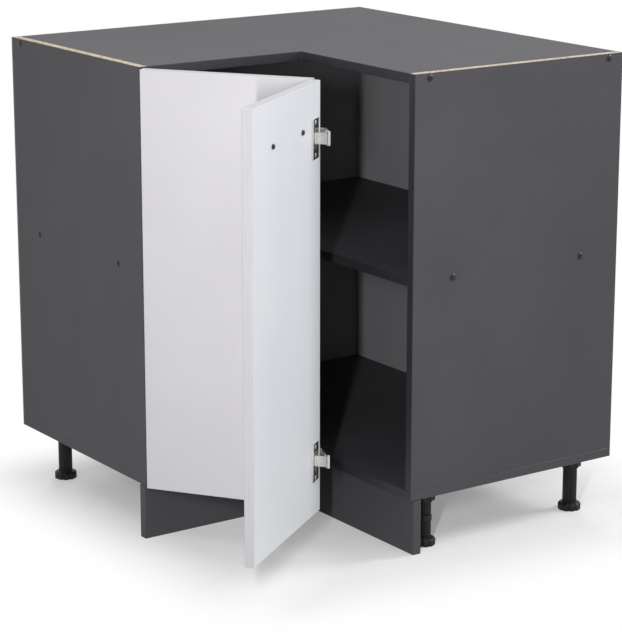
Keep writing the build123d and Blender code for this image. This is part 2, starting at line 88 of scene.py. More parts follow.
print("CAD nodes:", len(nodes), "box:", [round(x, 4) for x in (*cad_box[0], *cad_box[1])])

# %% [markdown]
# ## The camera
#
# A catalogue picture is taken with a long lens, so the verticals stay almost upright. The place, the two
# angles and the focal length were fitted to the corners of the carcass. They could be set by eye, but only
# a fitted camera lets every corner be compared. Blender counts the lens against the longer side of the
# frame, which here is the height.

# %% Camera
FRAME_HEIGHT_PX = 640
SENSOR_MM = 36.0
focal_px = 2385.6
camera_azimuth = math.radians(34.737)
camera_elevation = math.radians(14.495)
camera_place = Vector((-2725.3, -3764.4, 1383.7)) * MM

lens = bpy.data.cameras.new("catalogue_lens")
lens.sensor_width = SENSOR_MM
lens.lens = focal_px / FRAME_HEIGHT_PX * SENSOR_MM
lens.clip_start, lens.clip_end = 0.1, 100.0
camera = bpy.data.objects.new("catalogue_camera", lens)
bpy.context.scene.collection.objects.link(camera)
level = math.cos(camera_elevation)
looking = Vector((math.sin(camera_azimuth) * level, math.cos(camera_azimuth) * level,
                  -math.sin(camera_elevation)))
camera.location = camera_place
camera.rotation_euler = looking.to_track_quat("-Z", "Y").to_euler()
bpy.context.scene.camera = camera
print("lens:", round(lens.lens, 1), "mm")

# %% [markdown]
# ## Colours and nodes
#
# Colours are written as sRGB hex values, as a paint card gives them, and one function turns them into the
# linear numbers that the shader wants. One more function adds a node with its settings and its links, and
# a third turns the real size of a pattern into the scale of a texture. A finish starts from its plain
# values, and at the end the nodes that vary over the surface are linked to its shader.

# %% Helpers for finishes
def srgb(code):
    """A hex colour as linear RGBA."""
    parts = [int(code[i:i + 2], 16) / 255 for i in (1, 3, 5)]
    return [c / 12.92 if c <= 0.04045 else ((c + 0.055) / 1.055) ** 2.4 for c in parts] + [1.0]


def add_node(tree, kind, values=None, links=None, stops=None, **settings):
    """One shader node: settings on the node, values and links on its sockets, stops on its colour ramp."""
    node = tree.nodes.new("ShaderNode" + kind)
    for name, value in settings.items():
        setattr(node, name, value)
    for socket, value in (values or {}).items():
        node.inputs[socket].default_value = value
    for socket, source in (links or {}).items():
        tree.links.new(source, node.inputs[socket])
    for spot, (place, code) in enumerate(stops or []):
        ramp = node.color_ramp.elements
        stop = ramp[spot] if spot < 2 else ramp.new(place)
        stop.position, stop.color = place, srgb(code)
    return node


def grains(size):
    """Texture scale for grains of this many millimetres, on coordinates in metres."""
    return 1.0 / (size * MM)


def new_finish(name, values):
    """A material with its plain values, its node tree and the object coordinates."""
    finish = bpy.data.materials.new(name)
    finish.use_nodes = True
    tree = finish.node_tree
    for socket, value in values.items():
        tree.nodes["Principled BSDF"].inputs[socket].default_value = value
    return finish, tree, add_node(tree, "TexCoord").outputs["Object"]


def link_finish(finish, tint, gloss=None, relief=None):
    """Links a finish's colour, roughness and bump to its shader."""
    tree = finish.node_tree
    shader = tree.nodes["Principled BSDF"]
    for socket, node, output in (("Base Color", tint, "Color"), ("Roughness", gloss, "Result"),
                                 ("Normal", relief, "Normal")):
        if node is not None:
            tree.links.new(node.outputs[output], shader.inputs[socket])
    print("made", finish.name)


# %% [markdown]
# ## Melamine-faced chipboard
#
# The carcass boards are chipboard with a printed paper soaked in melamine resin and pressed hot against a
# plate, which leaves a fine pearl relief. That gives an even dark grey with a soft, broad gloss. A noise of
# a few millimetres stands for the relief, drawn coarser than the real half millimetre so that it shows.
# A scanned image could give it too, but a noise has no seams and never repeats.

# %% Anthracite melamine
melamine, tree, place = new_finish("anthracite_melamine", {"IOR": 1.5, "Specular IOR Level": 0.33})
cloud = add_node(tree, "TexNoise", {"Scale": grains(160), "Detail": 3.0}, {"Vector": place})
tint = add_node(tree, "ValToRGB", links={"Fac": cloud.outputs["Fac"]},
                stops=[(0.3, "#4b4a4e"), (0.7, "#504f53")])
pearl = add_node(tree, "TexNoise", {"Scale": grains(2.5), "Detail": 2.0}, {"Vector": place})
gloss = add_node(tree, "MapRange", {"From Min": 0.3, "From Max": 0.7, "To Min": 0.56, "To Max": 0.68},
                 {"Value": pearl.outputs["Fac"]})
relief = add_node(tree, "Bump", {"Strength": 0.12, "Distance": 0.2 * MM}, {"Height": pearl.outputs["Fac"]})
link_finish(melamine, tint, gloss, relief)

# %% [markdown]
# ## Edge band and cut chipboard
#
# The front edges carry an extruded plastic band, darker and smoother than the faces, with faint lines along
# the run of the extruder. The worktop hides the upper edges of the side panels, so these stay as the saw
# left them: pale chips pressed flat, each a few millimetres long, with darker bark between them. A band
# could be a strip of its own, but it is too thin to see as one, so it is a finish on the board's narrow
# faces. A noise stretched along one axis draws its lines, and each cell of a Voronoi texture is a chip.

# %% Edge band
edge_band, tree, place = new_finish("anthracite_edge_band", {"IOR": 1.52})
run = add_node(tree, "Mapping", {"Scale": (1.0, 1.0, 0.02)}, {"Vector": place})
lines = add_node(tree, "TexNoise", {"Scale": grains(1.5), "Detail": 2.0}, {"Vector": run.outputs["Vector"]})
tint = add_node(tree, "ValToRGB", links={"Fac": lines.outputs["Fac"]},
                stops=[(0.3, "#302f33"), (0.7, "#37363a")])
gloss = add_node(tree, "MapRange", {"To Min": 0.32, "To Max": 0.46}, {"Value": lines.outputs["Fac"]})
link_finish(edge_band, tint, gloss)

# %% Cut chipboard
chipboard, tree, place = new_finish("sawn_chipboard", {"IOR": 1.45, "Roughness": 0.85})
flat = add_node(tree, "Mapping", {"Scale": (1.0, 1.0, 2.2)}, {"Vector": place})
chips = add_node(tree, "TexVoronoi", {"Scale": grains(4.0), "Randomness": 1.0},
                 {"Vector": flat.outputs["Vector"]})
shade = add_node(tree, "SeparateColor", links={"Color": chips.outputs["Color"]})
tint = add_node(tree, "ValToRGB", links={"Fac": shade.outputs["Red"]},
                stops=[(0.0, "#a98f68"), (0.25, "#cdbd9d"), (0.6, "#dad0ba"), (1.0, "#e6dfcf")])
relief = add_node(tree, "Bump", {"Strength": 0.5, "Distance": 0.4 * MM},
                  {"Height": chips.outputs["Distance"]})
link_finish(chipboard, tint, relief=relief)

# %% [markdown]
# ## Hardboard
#
# The back panels are thin hardboard. The side towards the room wall is bare brown fibre, pressed on a wire
# screen that leaves a grid; the screen's mesh is about 1.5 mm and is drawn at 8 mm here. Clumps of fibre
# make the brown cloudy. The grid is too shallow to model, so two crossed wave textures give it as a bump.
# The side towards the inside is lacquered in a lighter grey than the boards.

# %% Hardboard
WAVE_REPEAT = 2 * math.pi / 20  # the length in which a wave texture of scale 1 repeats
hardboard, tree, place = new_finish("bare_hardboard", {"IOR": 1.45, "Roughness": 0.75})
fibre = add_node(tree, "TexNoise", {"Scale": grains(16), "Detail": 6.0, "Roughness": 0.7}, {"Vector": place})
tint = add_node(tree, "ValToRGB", links={"Fac": fibre.outputs["Fac"]},
                stops=[(0.34, "#6a4a2f"), (0.5, "#7c5a3b"), (0.66, "#8d6c4b")])
# An eighth of a turn makes x into x - y, which runs along both back panels.
along = add_node(tree, "Mapping", {"Rotation": (0, 0, math.pi / 4), "Scale": (math.sqrt(2), math.sqrt(2), 1)},
                 {"Vector": place})
wires = [add_node(tree, "TexWave", {"Scale": grains(8) * WAVE_REPEAT}, {"Vector": along.outputs["Vector"]},
                  wave_type="BANDS", bands_direction=axis) for axis in "XZ"]
mesh_print = add_node(tree, "Math", links={0: wires[0].outputs["Fac"], 1: wires[1].outputs["Fac"]},
                      operation="MULTIPLY")
relief = add_node(tree, "Bump", {"Strength": 0.35, "Distance": 0.4 * MM},
                  {"Height": mesh_print.outputs["Value"]})
link_finish(hardboard, tint, relief=relief)

# %% Lacquered side
lacquer, tree, place = new_finish("grey_lacquered_hardboard", {"IOR": 1.5})
cloud = add_node(tree, "TexNoise", {"Scale": grains(180), "Detail": 3.0}, {"Vector": place})
tint = add_node(tree, "ValToRGB", links={"Fac": cloud.outputs["Fac"]},
                stops=[(0.3, "#929094"), (0.7, "#98979a")])
fibre = add_node(tree, "TexNoise", {"Scale": grains(6), "Detail": 4.0}, {"Vector": place})
gloss = add_node(tree, "MapRange", {"To Min": 0.5, "To Max": 0.65}, {"Value": fibre.outputs["Fac"]})
relief = add_node(tree, "Bump", {"Strength": 0.1, "Distance": 0.2 * MM}, {"Height": fibre.outputs["Fac"]})
link_finish(lacquer, tint, gloss, relief)

# %% [markdown]
# ## White fronts
#
# The door leaves are board with a bright white foil outside, pressed on smooth and slightly glossy. The eye
# gets a clean white with a soft reflection and a very shallow orange peel. Inside they have a plain white
# melamine with a pearl relief like the boards', whiter and duller than the foil. The edges carry a white
# band, greyer than either and about as dull as the inside. A thin clear coat over a duller white gives the
# foil its reflection; a smoother white alone would mirror too sharply.

# %% White foil
foil, tree, place = new_finish("white_foil", {"IOR": 1.5, "Coat Weight": 0.25, "Coat Roughness": 0.12})
cloud = add_node(tree, "TexNoise", {"Scale": grains(220), "Detail": 2.0}, {"Vector": place})
tint = add_node(tree, "ValToRGB", links={"Fac": cloud.outputs["Fac"]},
                stops=[(0.3, "#d7d5d9"), (0.7, "#dcdade")])
peel = add_node(tree, "TexNoise", {"Scale": grains(7), "Detail": 1.0}, {"Vector": place})
gloss = add_node(tree, "MapRange", {"To Min": 0.26, "To Max": 0.36}, {"Value": peel.outputs["Fac"]})
relief = add_node(tree, "Bump", {"Strength": 0.05, "Distance": 0.15 * MM}, {"Height": peel.outputs["Fac"]})
link_finish(foil, tint, gloss, relief)

# %% White melamine inside the doors
white_melamine, tree, place = new_finish("white_melamine", {"IOR": 1.5})
cloud = add_node(tree, "TexNoise", {"Scale": grains(200), "Detail": 2.0}, {"Vector": place})
tint = add_node(tree, "ValToRGB", links={"Fac": cloud.outputs["Fac"]},
                stops=[(0.3, "#ebeef3"), (0.7, "#f0f2f7")])
pearl = add_node(tree, "TexNoise", {"Scale": grains(2.5), "Detail": 2.0}, {"Vector": place})
gloss = add_node(tree, "MapRange", {"To Min": 0.36, "To Max": 0.48}, {"Value": pearl.outputs["Fac"]})
relief = add_node(tree, "Bump", {"Strength": 0.08, "Distance": 0.2 * MM}, {"Height": pearl.outputs["Fac"]})
link_finish(white_melamine, tint, gloss, relief)

# %% White edge band
white_band, tree, place = new_finish("white_edge_band", {"IOR": 1.52})
run = add_node(tree, "Mapping", {"Scale": (1.0, 1.0, 0.02)}, {"Vector": place})
lines = add_node(tree, "TexNoise", {"Scale": grains(1.6), "Detail": 2.0}, {"Vector": run.outputs["Vector"]})
tint = add_node(tree, "ValToRGB", links={"Fac": lines.outputs["Fac"]},
                stops=[(0.3, "#c3c3c7"), (0.7, "#cccccf")])
gloss = add_node(tree, "MapRange", {"To Min": 0.34, "To Max": 0.46}, {"Value": lines.outputs["Fac"]})
link_finish(white_band, tint, gloss)

# %% [markdown]
# ## Metals
#
# Hinges are pressed from steel strip and nickel plated: bright, a little warm, with the faint drawing lines
# of the strip under the plating. The screws are zinc plated, which is bluer and duller. The handle is
# brushed steel, whose fine scratches run along the bar and spread the light across it. The screws that
# hold it get a dark steel colour, which is a painted reflection of the dark inside of the cabinet, so their
# heads stand out dark on the white inside of the door. These metals differ only in colour, gloss and the
# run of their streaks, so one function makes them all.

# %% Nickel, zinc, steel with a painted dark reflection, and brushed steel
def metal(name, dark, light, streak, line, low, high):
    """A plated or brushed metal: streaks of one width vary tint and roughness, from low to high."""
    finish, tree, place = new_finish(name, {"Metallic": 1.0})
    run = add_node(tree, "Mapping", {"Scale": streak}, {"Vector": place})
    lines = add_node(tree, "TexNoise", {"Scale": grains(line), "Detail": 4.0},
                     {"Vector": run.outputs["Vector"]})
    tint = add_node(tree, "ValToRGB", links={"Fac": lines.outputs["Fac"]},
                    stops=[(0.25, dark), (0.75, light)])
    gloss = add_node(tree, "MapRange", {"To Min": low, "To Max": high}, {"Value": lines.outputs["Fac"]})
    relief = add_node(tree, "Bump", {"Strength": 0.08, "Distance": 0.05 * MM},
                      {"Height": lines.outputs["Fac"]})
    link_finish(finish, tint, gloss, relief)
    return finish


nickel = metal("nickel_plated_steel", "#bfbebb", "#d9d8d5", streak=(1.0, 1.0, 0.15), line=1.2,
               low=0.14, high=0.3)
zinc = metal("zinc_plated_steel", "#a3a8ad", "#c3c8cc", streak=(1.0, 1.0, 1.0), line=0.8,
             low=0.26, high=0.42)
# The handle screws' dark tint is a painted reflection of the dark inside of the cabinet.
dark_reflection_steel = metal("steel_painted_dark_reflection", "#39393c", "#4a4a4d", streak=(1.0, 1.0, 1.0), line=0.8,
                  low=0.22, high=0.34)
brushed = metal("brushed_steel", "#b4b4b2", "#cfcfcc", streak=(0.05, 0.05, 1.0), line=0.6,
                low=0.24, high=0.4)

# %% [markdown]
# ## Black and grey plastics
#
# Legs, sockets and plinth clips are injection moulded polypropylene from an eroded mould, so they are a
# near black with a dull, finely grained skin. The cover caps are a smoother grey plastic that picks up a
# small highlight. The grain is finer than any face of the mesh, so it is a bump.

# %% Moulded plastics
def moulded(name, dark, light, grain, low, high, depth):
    """An injection moulded plastic: a grain of one size varies tint and roughness, from low to high."""
    finish, tree, place = new_finish(name, {"IOR": 1.49, "Specular IOR Level": 0.35})
    skin = add_node(tree, "TexNoise", {"Scale": grains(grain), "Detail": 3.0}, {"Vector": place})
    tint = add_node(tree, "ValToRGB", links={"Fac": skin.outputs["Fac"]}, stops=[(0.3, dark), (0.7, light)])
    gloss = add_node(tree, "MapRange", {"To Min": low, "To Max": high}, {"Value": skin.outputs["Fac"]})
    relief = add_node(tree, "Bump", {"Strength": depth, "Distance": 0.1 * MM},
                      {"Height": skin.outputs["Fac"]})
    link_finish(finish, tint, gloss, relief)
    return finish


black_plastic = moulded("black_polypropylene", "#0f0e10", "#161517", grain=0.9, low=0.45, high=0.6, depth=0.2)
cap_plastic = moulded("grey_cap_plastic", "#1c1b1d", "#232224", grain=1.5, low=0.27, high=0.33, depth=0.04)

# %% [markdown]
# ## Beech
#
# The dowels are fluted beech rod. They sit inside the boards and never show, but a part that is taken
# apart should find wood there: a pale pinkish brown with short dark flecks along the grain.

# %% Beech dowels
beech, tree, place = new_finish("beech", {"IOR": 1.45, "Roughness": 0.6})
grain = add_node(tree, "TexNoise", {"Scale": grains(1.2), "Detail": 5.0}, {"Vector": place})
tint = add_node(tree, "ValToRGB", links={"Fac": grain.outputs["Fac"]},
                stops=[(0.3, "#b98f63"), (0.5, "#d3ad80"), (0.75, "#dfc09a")])
link_finish(beech, tint)

# %% [markdown]
# ## Facing the boards
#
# A board shows its skin on the two wide faces and something else on each narrow side, so its faces are
# sorted by the way they look. A face whose normal lies along an axis takes what the board's list says for
# that side. The broken edges between two sides count as edge band. The outer ends of the bottom board show
# under the side panels, so their band matches the panels' faces.

# %% Finishes on the boards
AXES = {"+x": (1, 0, 0), "-x": (-1, 0, 0), "+y": (0, 1, 0), "-y": (0, -1, 0), "+z": (0, 0, 1),
        "-z": (0, 0, -1)}
ALIGNED = 0.99
END_DEPTH = 0.1


def face_board(node, edges, sides):
    """Sets each face's finish by the side it looks to; edges serves the sides that aren't listed."""
    mesh = nodes[node].data
    finishes = [edges] + [f for f in dict.fromkeys(sides.values()) if f is not edges]
    mesh.materials.clear()
    for finish in finishes:
        mesh.materials.append(finish)
    for face in mesh.polygons:
        looks = [side for side, axis in AXES.items() if face.normal.dot(axis) > ALIGNED]
        face.material_index = finishes.index(sides.get(looks[0], edges)) if looks else 0


for node in ("bottom_panel", "top_panel", "shelf"):
    face_board(node, edge_band, {"+z": melamine, "-z": melamine, "+x": chipboard, "+y": chipboard})
board = nodes["bottom_panel"].data
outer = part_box("bottom_panel")[0]
for face in board.polygons:
    if min(face.center.x - outer.x, face.center.y - outer.y) < END_DEPTH * MM:
        face.material_index = list(board.materials).index(melamine)
face_board("left_side_panel", edge_band,
           {"+x": melamine, "-x": melamine, "+z": chipboard, "-z": chipboard, "+y": chipboard})
face_board("right_side_panel", edge_band,
           {"+y": melamine, "-y": melamine, "+z": chipboard, "-z": chipboard, "+x": chipboard})
face_board("back_panel_left", edge_band, {"-y": lacquer, "+y": hardboard})
face_board("back_panel_right", edge_band, {"-x": lacquer, "+x": hardboard})
for node in ("plinth_left", "plinth_right"):
    face_board(node, melamine, {"-z": chipboard})
print("faced the boards")

# %% [markdown]
# ## Facing the doors
#
# A door leaf has foil on one wide face and melamine on the other. Which of them looks outwards is read from
# a fitting: the handle stands outside leaf B, and the hinge plates sit inside leaf A.

# %% Finishes on the doors, dowels and plinth plate
INSIDE, OUTSIDE = -1, 1


def centre(node):
    """The middle of a node's box."""
    low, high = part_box(node)
    return (low + high) / 2


for node, fitting, side in (("door_leaf_a", "fold_hinge_plates", INSIDE), ("door_leaf_b", "handle", OUTSIDE)):
    mesh = nodes[node].data
    mesh.materials.clear()
    for finish in (white_band, foil, white_melamine):
        mesh.materials.append(finish)
    outwards = max(mesh.polygons, key=lambda face: face.area).normal.copy()
    if side * outwards.dot(centre(fitting) - centre(node)) < 0:
        outwards.negate()
    for face in mesh.polygons:
        along = face.normal.dot(outwards)
        face.material_index = 1 if along > ALIGNED else 2 if along < -ALIGNED else 0
for node, finish in (("carcass_dowels", beech), ("plinth_joint_plate", zinc)):
    nodes[node].data.materials.clear()
    nodes[node].data.materials.append(finish)
print("faced the doors")

# %% [markdown]
# ## Tools for modelling
#
# Most small pieces of a cabinet are turned or moulded round an axis. A filled circle that is drawn up ring
# by ring in edit mode gives them all: extrude, then scale. Spinning a profile would make round pieces too,
# but here corners of the circle can be pulled in first, for flutes and notches. Recesses are cut with a
# boolean, and a bevel rounds what is sharp.

# %% Selecting and turning
def work_on(*pieces):
    """Only these pieces selected, in object mode, with the first one active."""
    if bpy.context.mode != "OBJECT":
        bpy.ops.object.mode_set(mode="OBJECT")
    bpy.ops.object.select_all(action="DESELECT")
    for piece in pieces:
        piece.select_set(True)
    if pieces:
        bpy.context.view_layer.objects.active = pieces[0]


def turn(name, sides, radius, rings, dents=()):
    """A circle drawn up ring by ring: each ring is a rise and a scale. Dents are (repeat, corners, scale)."""
    work_on()
    bpy.ops.mesh.primitive_circle_add(vertices=sides, radius=radius * MM, fill_type="NGON")
    piece = bpy.context.object
    piece.name = name
    bpy.ops.object.mode_set(mode="EDIT")
    bpy.ops.mesh.select_mode(type="VERT")
    for repeat, corners, scale in dents:
        shape = bmesh.from_edit_mesh(piece.data)
        for corner in shape.verts:
            corner.select_set(corner.index % repeat in corners)
        shape.select_flush_mode()
        bpy.ops.transform.resize(value=(scale, scale, 1), center_override=(0, 0, 0))
    bpy.ops.mesh.select_mode(type="FACE")
    bpy.ops.mesh.select_all(action="SELECT")
    for rise, scale in rings:
        bpy.ops.mesh.extrude_region_move(TRANSFORM_OT_translate={"value": (0, 0, rise * MM)})
        bpy.ops.transform.resize(value=(scale, scale, 1), center_override=(0, 0, 0))
    bpy.ops.mesh.select_all(action="SELECT")
    bpy.ops.mesh.normals_make_consistent(inside=False)
    bpy.ops.object.mode_set(mode="OBJECT")
    return piece


def lift(piece, rise):
    """Moves the whole mesh up or down its axis."""
    work_on(piece)
    bpy.ops.object.mode_set(mode="EDIT")
    bpy.ops.mesh.select_all(action="SELECT")
    bpy.ops.transform.translate(value=(0, 0, rise * MM))
    bpy.ops.object.mode_set(mode="OBJECT")
    return piece


# %% Cutting and rounding
OVERCUT = 1.0  # how far a cutter starts outside the piece, so that no skin is left over the hole


def cut(piece, cutter):
    """Takes the cutter's shape out of a piece and deletes the cutter."""
    work_on(piece)
    recess = piece.modifiers.new("recess", "BOOLEAN")
    recess.operation, recess.solver, recess.object = "DIFFERENCE", "EXACT", cutter
    bpy.ops.object.modifier_apply(modifier=recess.name)
    bpy.data.objects.remove(cutter)
    return piece


def soften(piece, width, angle=40.0):
    """Rounds the edges sharper than the angle and shades the rest smooth."""
    work_on(piece)
    rounding = piece.modifiers.new("rounded edges", "BEVEL")
    rounding.width, rounding.segments = width * MM, 2
    rounding.limit_method, rounding.angle_limit = "ANGLE", math.radians(angle)
    bpy.ops.object.modifier_apply(modifier=rounding.name)
    bpy.ops.object.shade_smooth_by_angle(angle=math.radians(angle))
    return piece


# %% Placing
UP = Vector((0, 0, 1))


def copy_to(model, places, name):
    """Copies of a model joined into one piece, each turned from +Z to its place's axis, or by a matrix."""
    made = []
    for point, axis in places:
        work_on(model)
        bpy.ops.object.duplicate()
        piece = bpy.context.object
        turned = axis if isinstance(axis, Matrix) else UP.rotation_difference(axis).to_matrix()
        piece.matrix_world = Matrix.Translation(point) @ turned.to_4x4()
        bpy.ops.object.transform_apply(location=True, rotation=True, scale=True)
        made.append(piece)
    work_on(*made)
    if len(made) > 1:
        bpy.ops.object.join()
    made[0].name = name
    return made[0]


def fit(piece, finish, slot, body, *replaced):
    """A finished piece gets its material, the body it moves with and the nodes it stands for. The slot is not
    used.
    """
    piece.data.materials.clear()
    piece.data.materials.append(finish)
    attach(piece, body)
    if replaced:
        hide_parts(*replaced)
    print("fitted", piece.name, "with", len(piece.data.polygons), "faces")
    return piece


# %% [markdown]
# ## Reading places from the frame
#
# The frame already knows where each screw, cap and leg sits. A node with several screws is taken apart into
# its solids, by walking from triangle to triangle. The long axis of a screw is the direction in which its
# points spread most, and the wider end is the head. A cap is the other way round: it spreads least along
# its axis, and the wider end is its seat.

# %% Places of screws and caps
LONGEST, SHORTEST = 0, 2
TIP_DEPTH = 0.1


def solids_of(node):
    """The corner points of each separate solid of a CAD node."""
    mesh = nodes[node].data
    keys = [tuple(round(c, 6) for c in corner.co) for corner in mesh.vertices]
    leader = {key: key for key in keys}

    def find(key):
        while leader[key] != key:
            key = leader[key]
        return key

    for face in mesh.polygons:
        roots = [find(keys[i]) for i in face.vertices]
        for root in roots[1:]:
            leader[find(root)] = find(roots[0])
    groups = {}
    for key in leader:
        groups.setdefault(find(key), []).append(key)
    return [np.array(group) for group in groups.values()]


def ends_of(points, spread):
    """Narrow end, wide end and the axis from narrow to wide; spread picks the longest or shortest axis."""
    middle = points.mean(0)
    axis = np.linalg.svd(points - middle)[2][spread]
    along = (points - middle) @ axis
    tips = [points[along < along.min() + TIP_DEPTH * MM], points[along > along.max() - TIP_DEPTH * MM]]
    widths = [np.linalg.norm(tip - tip.mean(0), axis=1).mean() for tip in tips]
    narrow, wide = tips if widths[0] < widths[1] else tips[::-1]
    narrow, wide = Vector(narrow.mean(0)), Vector(wide.mean(0))
    return narrow, wide, (wide - narrow).normalized()


def heads_of(node):
    """The top of each screw's head, with the axis that points out of it."""
    return [ends_of(points, LONGEST)[1:] for points in solids_of(node)]


# %% Places of legs
leg_places = {}
for name in ("left_back", "left_front", "back_corner", "inner_corner", "right_back", "right_front"):
    low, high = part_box("foot_" + name)
    leg_places[name] = Vector(((low.x + high.x) / 2, (low.y + high.y) / 2, 0))
standing = [(point, UP) for point in leg_places.values()]
print("legs at", {name: (round(p.x, 3), round(p.y, 3)) for name, p in leg_places.items()})

# %% [markdown]
# ## Screw feet
#
# The foot is a thick disc with a castellated rim, so that it can be turned by hand or with a tool, a sloping
# shoulder and a hub that meets the tube. Its threaded stem shows when the foot is screwed out. The notches
# are corners of the first circle pulled in, so they run up the whole rim. The thread is rings that go out
# and in by turns, because a true helix would look no different at this size.

# %% Feet
FOOT_RADIUS, RIM_HEIGHT, HUB_TOP = 20.0, 10.0, 15.0
SHOULDER_RADIUS, SHOULDER_RISE, HUB_RADIUS = 17.2, 2.5, 12.5
STEM_RADIUS, THREAD_ROOT, STEM_LENGTH, THREAD_TURNS = 5.0, 4.3, 55.0, 22
TEETH, TOOTH_CORNERS, NOTCH_CORNERS, NOTCH_SCALE = 10, 8, (6, 7), 0.90
rings = [(RIM_HEIGHT, 1.0), (SHOULDER_RISE, SHOULDER_RADIUS / FOOT_RADIUS),
         (0.0, HUB_RADIUS / SHOULDER_RADIUS), (HUB_TOP - RIM_HEIGHT - SHOULDER_RISE, 1.0),
         (0.0, THREAD_ROOT / HUB_RADIUS)]
half_pitch = STEM_LENGTH / (2 * THREAD_TURNS + 1)
for winding in range(THREAD_TURNS):
    rings += [(half_pitch, STEM_RADIUS / THREAD_ROOT), (half_pitch, THREAD_ROOT / STEM_RADIUS)]
foot = turn("foot_model", TEETH * TOOTH_CORNERS, FOOT_RADIUS, rings,
            [(TOOTH_CORNERS, NOTCH_CORNERS, NOTCH_SCALE)])
soften(foot, 0.35)
for name, point in leg_places.items():
    disc = copy_to(foot, [(point, UP)], name + "_foot_disc")
    fit(disc, black_plastic, "black_plastic", name + "_foot", "foot_" + name)
bpy.data.objects.remove(foot)

# %% [markdown]
# ## Tubes and sockets
#
# The tube is moulded with flutes all round. It plugs into a socket, whose flange lies against the underside
# of the bottom board and whose collar is stiffened by upright ribs. Flutes and ribs come from the first
# circle, as the notches of the foot do. Both pieces are hollow, and a boolean cuts their bores.

# %% Leg tubes
TUBE_RADIUS, TUBE_LENGTH, STEM_PLAY = 12.5, 77.5, 0.6
FLUTES, FLUTE_CORNERS, HOLLOW_CORNERS, HOLLOW_SCALE = 14, 6, (3, 4), 0.91
tube = turn("tube_model", FLUTES * FLUTE_CORNERS, TUBE_RADIUS, [(TUBE_LENGTH, 1.0)],
            [(FLUTE_CORNERS, HOLLOW_CORNERS, HOLLOW_SCALE)])
bore = turn("stem_bore", 24, STEM_RADIUS + STEM_PLAY, [(STEM_LENGTH + 2 * OVERCUT, 1.0)])
cut(tube, lift(bore, -OVERCUT))
soften(lift(tube, HUB_TOP), 0.25)
tubes = copy_to(tube, standing, "fluted_leg_tubes")
fit(tubes, black_plastic, "black_plastic", "carcass", "leg_tubes")
bpy.data.objects.remove(tube)

# %% Leg sockets
UNDERSIDE, FLANGE_RADIUS, FLANGE, COLLAR_RADIUS, COLLAR = 96.0, 24.0, 3.5, 19.5, 17.0
COLLAR_TAPER, INTO_FLANGE, TUBE_PLAY = 0.97, 0.5, 0.1
RIBS, RIB_CORNERS, VALLEY_CORNERS, VALLEY_SCALE = 8, 6, (2, 3, 4, 5), 0.89
collar = turn("collar_model", RIBS * RIB_CORNERS, COLLAR_RADIUS * COLLAR_TAPER,
              [(COLLAR - FLANGE, 1 / COLLAR_TAPER), (INTO_FLANGE, 1.0)],
              [(RIB_CORNERS, VALLEY_CORNERS, VALLEY_SCALE)])
flange = turn("flange_model", 48, FLANGE_RADIUS, [(FLANGE, 1.0)])
lift(flange, COLLAR - FLANGE)
work_on(collar, flange)
bpy.ops.object.join()
bore = turn("tube_bore", 48, TUBE_RADIUS + TUBE_PLAY, [(COLLAR - FLANGE + OVERCUT, 1.0)])
cut(collar, lift(bore, -OVERCUT))
soften(lift(collar, UNDERSIDE - COLLAR), 0.4)
sockets = copy_to(collar, standing, "ribbed_leg_sockets")
fit(sockets, black_plastic, "black_plastic", "carcass", "leg_sockets")
bpy.data.objects.remove(collar)

# %% [markdown]
# ## Screws and caps
#
# Hinges are held by small pan head screws and the handle by two with a higher dome, all with a cross recess.
# The connecting screws of the carcass have a hexagon socket, and where they pass through a side panel a
# domed plastic cap covers them. Each kind is modelled once and copied to the places that the frame gives,
# so that all of a kind are alike.

# %% Pan head screws
HEAD_RADIUS, SHANK_RADIUS, SHANK = 3.6, 1.8, 8.0
BLADE_SIZE = (3.8, 0.9, 2.0)


def cut_cross(screw, top):
    """Cuts a cross recess into a screw whose head ends at this height, with two flat blades."""
    for turned_by in (0.0, 90.0):
        work_on()
        bpy.ops.mesh.primitive_cube_add(size=MM, location=(0, 0, top * MM),
                                        rotation=(0, 0, math.radians(turned_by)))
        blade = bpy.context.object
        bpy.ops.object.mode_set(mode="EDIT")
        bpy.ops.transform.resize(value=BLADE_SIZE)
        bpy.ops.object.mode_set(mode="OBJECT")
        cut(screw, blade)


rings = [(SHANK, 1.0), (0.0, HEAD_RADIUS / SHANK_RADIUS), (0.5, 1.0), (0.5, 0.94), (0.35, 0.84), (0.2, 0.66)]
pan_screw = turn("pan_screw_model", 24, SHANK_RADIUS, rings)
lift(pan_screw, -sum(rise for rise, _ in rings))
cut_cross(pan_screw, 0.0)
soften(pan_screw, 0.1)
for node in ("swing_cup_screws", "swing_plate_screws", "swing_arm_screws", "fold_cup_screws",
             "fold_plate_screws", "fold_arm_screws"):
    screws = copy_to(pan_screw, heads_of(node), node + "_cross")
    fit(screws, zinc, "steel_screw", nodes[node]["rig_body"], node)
bpy.data.objects.remove(pan_screw)

# %% Handle screws
BOLT_RADIUS, BOLT_SHANK, DOME_RADIUS, DOME_HEIGHT, DOME_RIM = 2.0, 26.4, 4.2, 3.2, 1.6
DOME_PROUD = 1.6
rings = [(BOLT_SHANK, 1.0), (0.0, DOME_RADIUS / BOLT_RADIUS), (DOME_RIM, 1.0), (0.8, 0.92), (0.5, 0.82),
         (0.3, 0.66)]
dome_screw = lift(turn("dome_screw_model", 24, BOLT_RADIUS, rings), DOME_PROUD - BOLT_SHANK - DOME_HEIGHT)
cut_cross(dome_screw, DOME_PROUD)
soften(dome_screw, 0.1)
screws = copy_to(dome_screw, heads_of("handle_screws"), "handle_screws_domed")
# Their dark steel colour is a painted reflection of the dark inside of the cabinet.
fit(screws, dark_reflection_steel, "steel_screw", "leaf_b", "handle_screws")
bpy.data.objects.remove(dome_screw)

